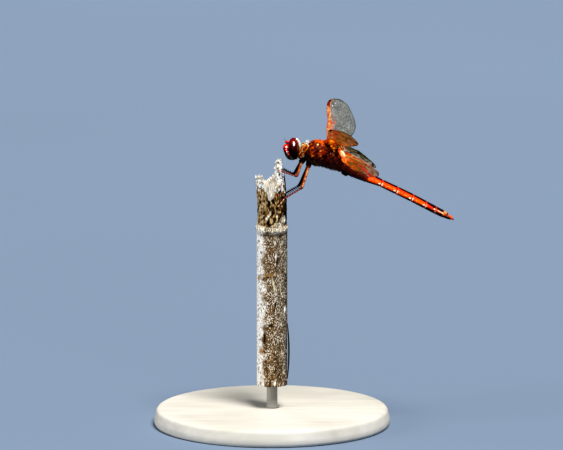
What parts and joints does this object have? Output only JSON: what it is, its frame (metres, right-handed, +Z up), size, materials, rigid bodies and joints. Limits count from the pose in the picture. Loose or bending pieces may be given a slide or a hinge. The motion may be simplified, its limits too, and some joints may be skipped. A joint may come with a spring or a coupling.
{
  "type": "dragonfly on a reed, display model",
  "caption": "Still life-size model of a red-orange skimmer dragonfly with spread wings, gripping the broken top of a dry reed on a round stand.",
  "frame": {"origin": "centre of the stand's underside, on the reed's axis", "axes": "+Z up along the reed; the insect clings to the reed's +X side, faces -X and has its left side towards -Y"},
  "size_m": [0.0888, 0.0854, 0.095],
  "materials": {
    "thorax": "brown-orange insect shell with golden blotches and short hair, darker below",
    "abdomen": "waxy orange-red insect shell with a black line along the back",
    "face": "glossy bright red insect shell",
    "eye": "very glossy dark maroon compound eye, near black below",
    "wing": "clear amber-tinted membrane with fine dark veins and an orange leading edge",
    "leg": "red-brown insect shell with black bristles",
    "reed": "weathered dry reed with dark specks, lichen and a pale splintered top",
    "stand": "smooth pale painted wood"
  },
  "bodies": {
    "root": {"abdomen_01": "abdomen", "abdomen_02": "abdomen", "abdomen_03": "abdomen", "abdomen_04": "abdomen", "abdomen_05": "abdomen", "abdomen_06": "abdomen", "abdomen_07": "abdomen", "abdomen_08": "abdomen", "abdomen_09": "abdomen", "abdomen_10": "abdomen", "antenna_left": "leg", "antenna_right": "leg", "cercus_left": "abdomen", "cercus_right": "abdomen", "clypeus": "face", "epiproct": "abdomen", "eye_left": "eye", "eye_right": "eye", "frons": "face", "hamules": "abdomen", "head": "thorax", "labium": "thorax", "labrum": "face", "leg_front_left": "leg", "leg_front_right": "leg", "leg_hind_left": "leg", "leg_hind_right": "leg", "leg_mid_left": "leg", "leg_mid_right": "leg", "neck": "thorax", "perch_reed": "reed", "prothorax": "thorax", "stand_base": "stand", "stand_rod": "stand", "thorax": "thorax", "vertex": "face", "wing_fore_left": "wing", "wing_fore_right": "wing", "wing_hind_left": "wing", "wing_hind_right": "wing"}
  },
  "joints": []
}
